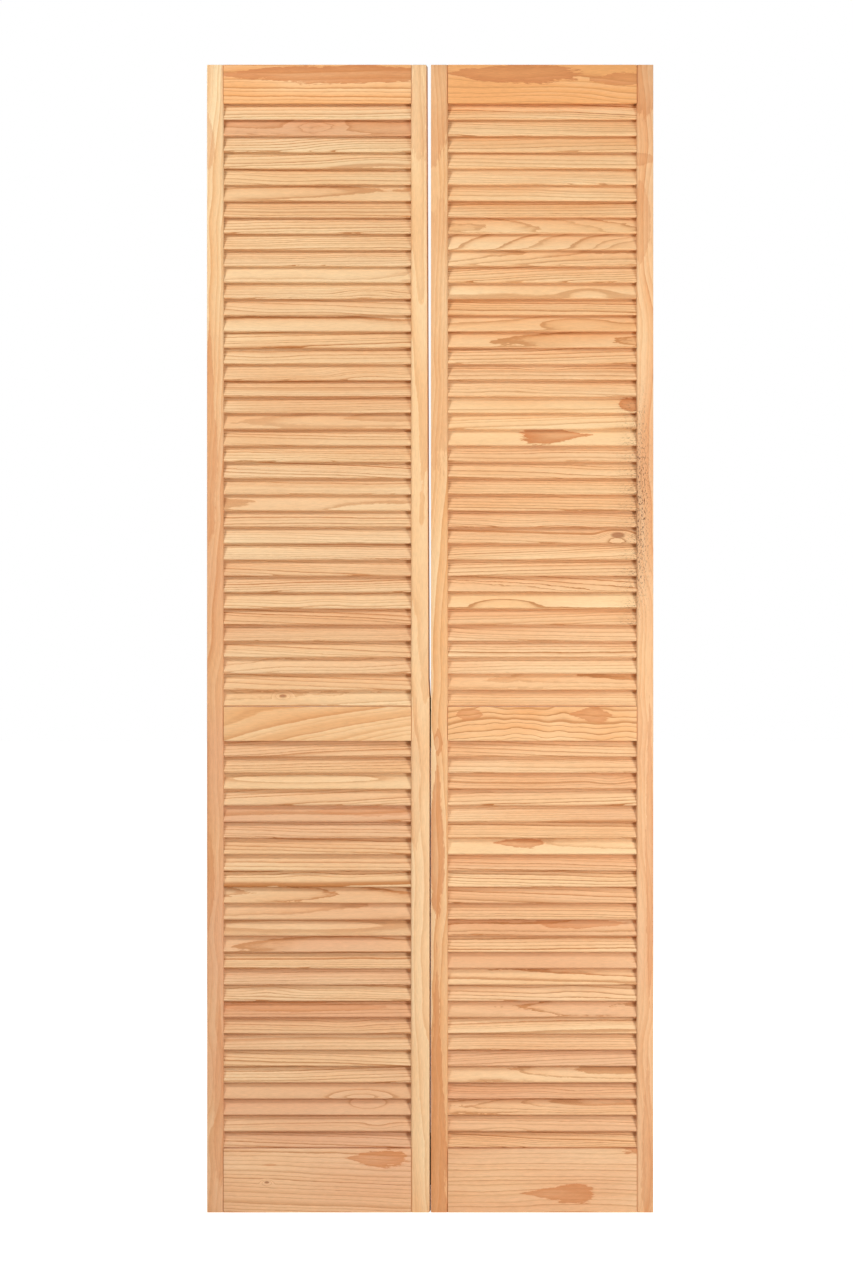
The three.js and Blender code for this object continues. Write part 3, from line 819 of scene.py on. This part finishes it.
meeting_boards = {
    "pivot": {
        "drift": (61, 5, 33),
        "pith": (2.5, 0.04, -0.04),
        "lean": (0, -0.03, 0.02),
        "rings": (0.0095, 0.04, 0.14),
        "zones": (0.3, 0.25, 0.1),
        "tones": {0: (0.26, 0.25, 0.1), 0.6: (0.27, 0.3, 0.2), 1.2: (0.4, 0.1, 0.1), 1.98: (0.28, 0, 0.2)},
        "marks": [
            {"patch": (1.92, -0.006, 0.35), "spread": (0.12, 0.014, 0.7)},
            {"patch": (0.75, -0.008, 0.3), "spread": (0.14, 0.008, 0.5)},
        ],
    },
    "lead": {
        "drift": (8, 71, 19),
        "pith": (3.5, 0.035, -0.04),
        "lean": (0, 0.03, 0.02),
        "rings": (0.01, 0.05, 0.12),
        "zones": (0.4, 0.4, 0.14),
        "tones": {
            0: (0.4, 0.3, 0.3),
            0.75: (0.3, 0.2, 0.2),
            1.1: (0.38, 0.1, 0),
            1.45: (0.4, 0.1, 0.2),
            1.98: (0.4, 0.1, 0.4),
        },
        "marks": [
            {"patch": (1.95, -0.01, 0.55), "spread": (0.14, 0.045, 0.4)},
            {"patch": (1.52, 0, 0.3), "spread": (0.24, 0.08, 0)},
            {"patch": (0.812, -0.002, 0.7), "spread": (0.026, 0.008, 0), "eye": (0.812, -0.002, 0.01)},
            {"patch": (0.64, -0.004, 0.75), "spread": (0.145, 0.012, 0.3)},
            {"patch": (0.1, -0.004, 0.65), "spread": (0.36, 0.016, 0.85)},
        ],
    },
}
for leaf, side, outward in leaves:
    inner = meeting_face[leaf]
    heights = sorted({*np.linspace(0, door_top, round(door_top / board_step)), *[z for z, planed in taper]})
    outlines = []
    for z in heights:
        planed = np.interp(z, *zip(*taper)) / math.cos(edge_bevel) if leaf == "pivot" else 0
        outline = [
            (inner, leaf_back),
            (inner, leaf_front + stile_chamfer),
            (inner - outward * stile_chamfer, leaf_front),
            (meeting_edge(outward, leaf_front) + outward * planed, leaf_front),
            (meeting_edge(outward, leaf_back) + outward * planed, leaf_back),
        ]
        outlines.append([(x, y, z) for x, y in outline])
    made = ease(prism(outlines), eased_edge)
    mesh = combined(to_mesh(made, side), [slat_row(leaf, fit_gap), *dowel_holes(leaf, "meeting")])
    grow_board(mesh, lambda x, y, z: (z, x - inner / 2, leaf_middle - y), meeting_boards[leaf])
    show(side + "_meeting_stile", mesh, leaf + "_leaf", [leaf + "_meeting_stile"])

# ---- Rails ----
# Three cross-pieces to a leaf, each one board of pine with its grain lying across the door. Glued dowels
# hold them to the stiles, so tightly that the joints show as hairlines. A rail with slats below it is
# rebated behind, to let the top slat's upper edge in.

rail_edge = 0.3 * mm
rail_reach = 0.25 * mm
bore_radius = 4.75 * mm
bore_depth = 40 * mm
bore_inset = 60 * mm
# These are bored for the pivots at both ends of the left leaf, and for the guide on top of the right one.
bored_rails = ("pivot_top_rail", "pivot_bottom_rail", "lead_top_rail")
overrun = mm
rail_boards = {
    "pivot_top_rail": {
        "drift": (12, 3, 8),
        "pith": (2.2, 0.06, -0.02),
        "rings": (0.0075, 0.02, 0.6),
        "zones": (0.3, 0.2, 0),
        "tones": {0: (0.6, 0.1, 0)},
        "marks": [{"patch": (0.04, 0.017, 0.9), "spread": (0.22, 0.016, 0)}],
    },
    "pivot_middle_rail": {
        "drift": (31, 9, 40),
        "pith": (2.2, 0.06, -0.04),
        "lean": (0, 0.24, 0.01),
        "rings": (0.0095, 0.05, 0.3),
        "zones": (0.3, 0.2, 0.15),
        "tones": {0: (0.55, 0.1, 0.2)},
    },
    "pivot_bottom_rail": {
        "drift": (15, 28, 3),
        "pith": (2.2, 0.09, -0.03),
        "lean": (0, -0.03, 0),
        "rings": (0.0068, 0.02, 0.65),
        "tones": {0: (0.38, 0.95, 0)},
        "marks": [
            {"patch": (0.1, 0.039, 0.85), "spread": (0.058, 0.013, -0.7)},
            {"patch": (-0.082, 0.027, 0.6), "spread": (0.014, 0.002, 0), "knot": (-0.087, -0.003, 0.0022)},
        ],
    },
    "lead_top_rail": {
        "drift": (52, 13, 28),
        "pith": (2.2, 0.05, -0.03),
        "lean": (0, -0.05, 0),
        "rings": (0.009, 0.05, 0.55),
        "zones": (0.3, 0.3, 0),
        "tones": {0: (0.85, 0.1, 0.5)},
        "marks": [
            {"patch": (-0.052, 0.018, 0.95), "spread": (0.125, 0.017, -0.5)},
            {"patch": (0.14, 0.008, 0.75), "spread": (0.066, 0.011, -0.5)},
        ],
    },
    "lead_middle_rail": {
        "drift": (6, 66, 20),
        "pith": (8, 0.07, -0.02),
        "rings": (0.008, 0.05, 0.7),
        "zones": (0.2, 0.2, 0),
        "tones": {0: (0.55, 0.2, 0)},
        "marks": [
            {"patch": (-0.1257, 0.015, 0.65), "spread": (0.025, 0.011, 0)},
            {"patch": (0.085, 0.016, 0.75), "spread": (0.038, 0.012, -0.5)},
        ],
    },
    "lead_bottom_rail": {
        "drift": (44, 2, 73),
        "pith": (2.2, -0.09, -0.03),
        "rings": (0.0075, 0.03, 0.5),
        "tones": {0: (0.43, 0.75, 0.2)},
        "marks": [{"patch": (0.03, -0.022, 0.8), "spread": (0.06, 0.014, -0.8)}],
    },
}


def rebated(low, high):
    """The outline in depth and height of a rail that the top slat of the field below it reaches behind."""
    slat_middle = low.z - slat_pitch + fit_gap + slat_half_height
    ledge = slat_middle + slat_half_height + fit_gap
    behind = [(leaf_front, low.z)]
    for z in (low.z, ledge):
        from_slat = (z - slat_middle) * math.sin(slat_tilt) - slat_thickness / 2 - fit_gap
        behind.append((leaf_middle + from_slat / math.cos(slat_tilt), z))
    return [*behind, (leaf_back, ledge), (leaf_back, high.z), (leaf_front, high.z)]


for leaf, side, outward in leaves:
    for rail in rails:
        name = f"{leaf}_{rail}"
        low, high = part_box(name)
        centre = (low + high) / 2
        outline = [(leaf_front, low.z), (leaf_back, low.z), (leaf_back, high.z), (leaf_front, high.z)]
        if rail != "bottom_rail":
            outline = rebated(low, high)
        steps = round((high.x - low.x) / board_step)
        crossings = np.linspace(low.x - rail_reach, high.x + rail_reach, steps)
        made = ease(prism([[(x, y, z) for y, z in outline] for x in crossings]), rail_edge)
        holes = [*dowel_holes(leaf, "outer"), *dowel_holes(leaf, "meeting")]
        holes = [hole for hole in holes if low.z < hole.vertices[0].co.z < high.z]
        if name in bored_rails:
            x = outer_edge[leaf] - outward * bore_inset
            mouth, inwards = (high.z, -1) if rail == "top_rail" else (low.z, 1)
            start = Vector((x, leaf_middle, mouth - inwards * overrun))
            end = Vector((x, leaf_middle, mouth + inwards * bore_depth))
            holes.append(bar(bore_radius, start, end, sides=32))
        mesh = combined(to_mesh(made, rail), holes)
        grow_board(mesh, lambda x, y, z: (x - centre.x, z - centre.z, leaf_middle - y), rail_boards[name])
        show(f"{side}_{rail}", mesh, leaf + "_leaf", [name])

# ---- Dowels ----
# Fluted beech pegs, two at each end of every rail, glued half into a stile and half into the rail. The
# closed joints hide them.

# Turned beech, left bare: pale pinkish brown, with short darker flecks along the grain.
beech, peg = new_material("Turned bare beech")
flecks_per_metre = (220, 1800, 1800)
fleck = add(peg, "ShaderNodeTexCoord").outputs["Object"]
fleck = add(peg, "ShaderNodeMapping", {"Vector": fleck, "Scale": flecks_per_metre})
fleck = add(peg, "ShaderNodeTexNoise", {"Vector": fleck, "Scale": 1.0, "Detail": 2.0})
fleck = add(peg, "ShaderNodeMapRange", {"Value": fleck, "From Min": 0.45, "From Max": 0.7})
flecked = {0: fleck, 6: colour("E2C39A"), 7: colour("C29A6E")}
flecked = add(peg, "ShaderNodeMix", flecked, data_type="RGBA").outputs[2]
surface = add(peg, "ShaderNodeBsdfPrincipled", {"Base Color": flecked, "Roughness": 0.7})
add(peg, "ShaderNodeOutputMaterial", {"Surface": surface})
for name, node in frame["nodes"].items():
    if "_dowel_" in name:
        coat_with(node.data, beech)

# ---- Hinge plates and pins ----
# Two non-mortise hinges in the gap, at the middle and bottom rails. The inner plate nests in a window of
# the outer one. Both are pressed from 2 mm strip and rolled round one pin, with flat heads at its ends.

plate_thickness = 2 * mm
plate_reach = 27 * mm
strip_reach = 24 * mm
plate_corner = 3 * mm
plate_edge = 0.25 * mm
inner_plate_height = 37 * mm
inner_plate_reach = 17.5 * mm
inner_plate_corner = 2 * mm
barrel_radius = 3.48 * mm
pin_radius = 2 * mm
pin_edge = 0.5 * mm
pin_head_radius = 3.1 * mm
pin_head_height = 2.4 * mm
screw_head_radius = 3.5 * mm
screw_radius = 1.75 * mm
# Where the screws go, forward from the pin and up from the hinge's middle.
outer_screws = [(9 * mm, 35.5 * mm), (9 * mm, -35.5 * mm), (20 * mm, 30.3 * mm), (20 * mm, -30.3 * mm)]
inner_screws = [(10.5 * mm, 6.5 * mm), (10.5 * mm, -6.5 * mm)]

# Pressed steel in dark bronze lacquer, which looks nearly black indoors and brown where it catches light.
# It has worn a little unevenly, in blots of about 6 mm.
bronzed, coat = new_material("Pressed steel in dark bronze lacquer")
wear_per_metre = 160.0
worn = add(coat, "ShaderNodeTexCoord").outputs["Object"]
worn = add(coat, "ShaderNodeTexNoise", {"Vector": worn, "Scale": wear_per_metre, "Detail": 4.0})
lacquer = {0: worn, 6: colour("20140C"), 7: colour("3A2616")}
lacquer = add(coat, "ShaderNodeMix", lacquer, data_type="RGBA").outputs[2]
gloss = add(coat, "ShaderNodeMapRange", {"Value": worn, "To Min": 0.36, "To Max": 0.52})
surface = add(coat, "ShaderNodeBsdfPrincipled", {"Base Color": lacquer, "Roughness": gloss})
add(coat, "ShaderNodeOutputMaterial", {"Surface": surface})


def gap_place(z):
    """From a hinge's own axes, across the gap, back and up from its pin, to the door's."""
    return Matrix.Translation((pin.x, pin.y, z)) @ Matrix.Rotation(-edge_bevel, 4, "Z")


def plate(corners, rounded, corner):
    """A flat plate across the gap, from its outline in depth and height, with some corners rounded."""
    faces = (-plate_thickness / 2, plate_thickness / 2)
    made = prism([[(across, back, up) for back, up in corners] for across in faces])
    near = mm / 1000
    picked = [
        edge
        for edge in made.edges
        if all(any((v.co.yz - Vector(place)).length < near for place in rounded) for v in edge.verts)
        and abs(edge.verts[0].co.x - edge.verts[1].co.x) > near
    ]
    bmesh.ops.bevel(made, geom=picked, offset=corner, segments=5, affect="EDGES", profile=0.5)
    return to_mesh(ease(made, plate_edge, math.radians(50)), "plate")


def countersink(place, facing):
    """Cutters for a countersunk screw hole in a plate, open on the side that it faces."""
    forward, up = place
    mouth = screw_head_radius + fit_gap + overrun
    turn = Matrix.Rotation(facing * math.pi / 2, 4, "Y")
    spot = Matrix.Translation((facing * (plate_thickness / 2 + overrun - mouth / 2), -forward, up)) @ turn
    made = bmesh.new()
    add_cone(made, spot, (0, mouth), depth=mouth, sides=32)
    reach = Vector((plate_thickness, 0, 0))
    middle = Vector((0, -forward, up))
    shank = bar(screw_radius + fit_gap, middle - reach, middle + reach, sides=24)
    return [to_mesh(made, "countersink"), shank]


def on_pin(radius, low, high):
    """A round bar on the pin's axis, between two heights."""
    return bar(radius, Vector((0, 0, low)), Vector((0, 0, high)), sides=40)


top = hinge_height / 2
inner_top = inner_plate_height / 2
window = inner_top + fit_gap
window_depth = inner_plate_reach + fit_gap
outer_outline = [
    (0, top),
    (-plate_reach, top),
    (-plate_reach, window + plate_corner),
    (-strip_reach, window),
    (-strip_reach, -window),
    (-plate_reach, -window - plate_corner),
    (-plate_reach, -top),
    (0, -top),
    (0, -window),
    (-window_depth, -window),
    (-window_depth, window),
    (0, window),
]
outer_corners = [(-plate_reach, top), (-plate_reach, -top)]
inner_corners = [(-inner_plate_reach, inner_top), (-inner_plate_reach, -inner_top)]
inner_outline = [(0, inner_top), *inner_corners, (0, -inner_top)]
outer_knuckles = [(window, top), (-top, -window)]
inner_knuckles = [(-inner_top, inner_top)]
# Each plate's outline, which corners are rounded and by how much, its knuckles, and its screws with the
# side that they go in from.
plates = {
    "outer": (outer_outline, outer_corners, plate_corner, outer_knuckles, outer_screws, 1),
    "inner": (inner_outline, inner_corners, inner_plate_corner, inner_knuckles, inner_screws, -1),
}
for hinge, height in hinge_middles.items():
    place = gap_place(height)
    for which, width, body in (("outer", "wide", "pivot_leaf"), ("inner", "narrow", "lead_leaf")):
        outline, rounded, corner, knuckles, screws, facing = plates[which]
        barrel = [on_pin(barrel_radius, *span) for span in knuckles]
        mesh = combined(plate(outline, rounded, corner), barrel, "UNION")
        holes = [hole for screw in screws for hole in countersink(screw, facing)]
        mesh = combined(mesh, [on_pin(pin_radius + fit_gap, -hinge_height, hinge_height), *holes])
        mesh.transform(place)
        coat_with(mesh, bronzed)
        show(f"{hinge}_{width}_plate", mesh, body, [f"{hinge}_hinge_{which}_plate"])
    made = bmesh.new()
    end = top + fit_gap
    for low, high, radius in (
        (-end - overrun, end + overrun, pin_radius),
        (end, end + pin_head_height, pin_head_radius),
        (-end - pin_head_height, -end, pin_head_radius),
    ):
        middle = Matrix.Translation((0, 0, (low + high) / 2))
        add_cone(made, middle, (radius, radius), depth=high - low, sides=40)
    mesh = to_mesh(ease(made, pin_edge, math.radians(60), 3), hinge)
    mesh.transform(place)
    coat_with(mesh, bronzed)
    show(hinge + "_pin", mesh, "pivot_leaf", [hinge + "_hinge_pin"])

# ---- Screws ----
# Countersunk wood screws with a cross recess, driven through the plates into the stiles' edges: four in
# each outer plate, into the left leaf, and two in each inner one, into the right leaf.

screw_length = 18 * mm
screw_head_height = 1.75 * mm
screw_tip = 4 * mm
screw_tip_radius = 0.2 * mm
screw_sink = 0.05 * mm
screw_spin = 1.5
recess_depth = 1.3 * mm
recess_length = 3.64 * mm
recess_width = 0.715 * mm

# The screws' bronze finish is thinner than the plates', and rubbed to the steel in blots of about 1.4 mm.
screw_finish, shine = new_material("Thinly bronzed screw steel")
rubs_per_metre = 700.0
rubbed = add(shine, "ShaderNodeTexCoord").outputs["Object"]
rubbed = add(shine, "ShaderNodeTexNoise", {"Vector": rubbed, "Scale": rubs_per_metre, "Detail": 3.0})
rubbed = add(shine, "ShaderNodeMapRange", {"Value": rubbed, "From Min": 0.5, "From Max": 0.75})
bronze = {0: rubbed, 6: colour("5A4330"), 7: colour("A08C74")}
bronze = add(shine, "ShaderNodeMix", bronze, data_type="RGBA").outputs[2]
surface = {"Base Color": bronze, "Roughness": 0.38, "Metallic": 0.9}
surface = add(shine, "ShaderNodeBsdfPrincipled", surface)
add(shine, "ShaderNodeOutputMaterial", {"Surface": surface})

screw_tree, given = new_tree(
    "Driven screws",
    Geometry=("Places",),
    Float=(
        *("Head Radius", "Head Height", "Shank Radius", "Tip Radius", "Tip", "Length"),
        *("Recess Depth", "Recess Length", "Recess Width", "Spin"),
    ),
    Int=("Seed",),
    Material=("Material",),
)
head_height, shank_radius = given["Head Height"], given["Shank Radius"]
shank_length = {0: given["Length"], 1: given["Tip"]}
shank_length = add(screw_tree, "ShaderNodeMath", shank_length, operation="SUBTRACT")
screw = add(screw_tree, "GeometryNodeMeshBoolean", operation="UNION", solver="EXACT")
for sides, upper, lower, height, foot in (
    (28, given["Head Radius"], shank_radius, head_height, head_height),
    (16, shank_radius, shank_radius, shank_length, shank_length),
    (16, shank_radius, given["Tip Radius"], given["Tip"], given["Length"]),
):
    part = {"Vertices": sides, "Radius Top": upper, "Radius Bottom": lower, "Depth": height}
    part = add(screw_tree, "GeometryNodeMeshCone", part)
    drop = add(screw_tree, "ShaderNodeMath", {0: foot, 1: -1.0}, operation="MULTIPLY")
    drop = add(screw_tree, "ShaderNodeCombineXYZ", {"Z": drop})
    part = add(screw_tree, "GeometryNodeTransform", {"Geometry": part, "Translation": drop})
    screw_tree.links.new(part.outputs[0], screw.inputs["Mesh 2"])
# The recess is cut by two crossed blades, which are centred on the head's face.
blade_height = {0: given["Recess Depth"], 1: 2.0}
blade_height = add(screw_tree, "ShaderNodeMath", blade_height, operation="MULTIPLY")
screw = {"Mesh 1": screw}
screw = add(screw_tree, "GeometryNodeMeshBoolean", screw, operation="DIFFERENCE", solver="EXACT")
for long_way, short_way in (("X", "Y"), ("Y", "X")):
    blade = {long_way: given["Recess Length"], short_way: given["Recess Width"], "Z": blade_height}
    blade = add(screw_tree, "ShaderNodeCombineXYZ", blade)
    blade = add(screw_tree, "GeometryNodeMeshCube", {"Size": blade})
    screw_tree.links.new(blade.outputs[0], screw.inputs["Mesh 2"])
turn = add(screw_tree, "GeometryNodeInputNamedAttribute", {"Name": "turn"}, data_type="FLOAT_VECTOR")
driven = {"Points": given["Places"], "Instance": screw, "Rotation": turn}
driven = add(screw_tree, "GeometryNodeInstanceOnPoints", driven)
spin = {2: 0.0, 3: given["Spin"], "Seed": given["Seed"]}
spin = add(screw_tree, "FunctionNodeRandomValue", spin, data_type="FLOAT").outputs[1]
spin = add(screw_tree, "ShaderNodeCombineXYZ", {"Z": spin})
driven = {"Instances": driven, "Rotation": spin, "Local Space": True}
driven = add(screw_tree, "GeometryNodeRotateInstances", driven)
driven = add(screw_tree, "GeometryNodeRealizeInstances", {"Geometry": driven})
driven = add(screw_tree, "GeometryNodeSetMaterial", {"Geometry": driven, "Material": given["Material"]})
add(screw_tree, "NodeGroupOutput", {"Geometry": driven})

for which, side, leaf, screws, facing in (
    ("outer", "left", "pivot", outer_screws, 1),
    ("inner", "right", "lead", inner_screws, -1),
):
    spots, turns, nodes = [], [], []
    for hinge, height in hinge_middles.items():
        place = gap_place(height)
        for number, (forward, up) in enumerate(screws, 1):
            spots.append(place @ Vector((facing * (plate_thickness / 2 - screw_sink), -forward, up)))
            turns.append((place @ Matrix.Rotation(facing * math.pi / 2, 4, "Y")).to_euler())
            nodes.append(f"{hinge}_hinge_{which}_screw_{number}")
    points = bpy.data.meshes.new("screw places")
    points.from_pydata(spots, [], [])
    store(points, "turn", turns)
    mesh = grown(
        screw_tree,
        {
            "Head Radius": screw_head_radius,
            "Head Height": screw_head_height,
            "Shank Radius": screw_radius,
            "Tip Radius": screw_tip_radius,
            "Tip": screw_tip,
            "Length": screw_length,
            "Recess Depth": recess_depth,
            "Recess Length": recess_length,
            "Recess Width": recess_width,
            "Spin": screw_spin,
            "Seed": 3,
            "Material": screw_finish,
        },
        points,
    )
    show(side + "_screws", mesh, leaf + "_leaf", nodes)

# ---- Room ----
# The door stands on a pale floor in front of nothing, as in a photographer's studio. Soft boxes light it,
# and the camera looks straight at its front.

floor_half_width = 30
floor_white = 0.95
soft_white = 0.13


def seen(tree):
    """One for the rays that come from the camera, gloss or glass, and nothing for the others."""
    rays = add(tree, "ShaderNodeLightPath").outputs
    either = {0: rays["Is Camera Ray"], 1: rays["Is Glossy Ray"]}
    either = add(tree, "ShaderNodeMath", either, operation="MAXIMUM")
    return add(tree, "ShaderNodeMath", {0: either, 1: rays["Is Transmission Ray"]}, operation="MAXIMUM")


# Matt white floor. To the camera, glass and gloss it is as white as the background, less the door's shadow.
paper, ground = new_material("Matt white studio floor")
matt = add(ground, "ShaderNodeBsdfDiffuse", {"Color": colour("F2F0EE")})
glow = add(ground, "ShaderNodeMath", {0: seen(ground), 1: floor_white}, operation="MULTIPLY")
glow = add(ground, "ShaderNodeEmission", {"Color": (1, 1, 1, 1), "Strength": glow})
white = add(ground, "ShaderNodeAddShader", {0: matt, 1: glow})
add(ground, "ShaderNodeOutputMaterial", {"Surface": white})
made = bmesh.new()
bmesh.ops.create_grid(made, x_segments=1, y_segments=1, size=floor_half_width)
mesh = to_mesh(made, "floor")
coat_with(mesh, paper)
floor = bpy.data.objects.new("floor", mesh)
scene.collection.objects.link(floor)
floor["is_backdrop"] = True

# The background is white to the camera, glass and gloss, and lights the door softly.
world = bpy.data.worlds.new("Studio")
scene.world = world
world.use_nodes = True
sky = world.node_tree
sky.nodes.clear()
soft = add(sky, "ShaderNodeBackground", {"Color": (1, 1, 1, 1), "Strength": soft_white})
bright = add(sky, "ShaderNodeBackground", {"Color": (1, 1, 1, 1), "Strength": 1.0})
both = add(sky, "ShaderNodeMixShader", {0: seen(sky), 1: soft, 2: bright})
add(sky, "ShaderNodeOutputWorld", {"Surface": both})

# Two soft boxes in front of the door, a high one on the left, and a low one on the right that reaches in
# under the slats, and one behind it.
lamp_aim = Vector((0, 0, 0.9))
for name, place, size, power in (
    ("left soft box", (-1.4, -2.0, 2.6), 0.8, 45),
    ("right soft box", (1.7, -2.3, 0.9), 0.8, 49.5),
    ("rear soft box", (-1.7, 3.2, 2.2), 1.5, 80),
):
    lamp = bpy.data.lights.new(name, "AREA")
    lamp.shape, lamp.size, lamp.energy = "SQUARE", size, power
    stand = bpy.data.objects.new(name, lamp)
    stand.location = place
    stand.rotation_euler = (lamp_aim - Vector(place)).to_track_quat("-Z", "Y").to_euler()
    scene.collection.objects.link(stand)

# The picture takes in so much height at the door's front, and the camera stands so far from it.
view_height = 2.2088
camera_distance = 6.5
camera_across = -0.0063
camera_height = 0.9882
camera_data = bpy.data.cameras.new("camera")
camera_data.lens = camera_data.sensor_width * camera_distance / view_height
camera = bpy.data.objects.new("camera", camera_data)
camera.location = (camera_across, leaf_front - camera_distance, camera_height)
camera.rotation_euler = (math.pi / 2, 0, 0)
scene.collection.objects.link(camera)
scene.camera = camera
scene.view_settings.view_transform = "Standard"

sizes = {"at_load": bounds_at_load, "at_end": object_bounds()}
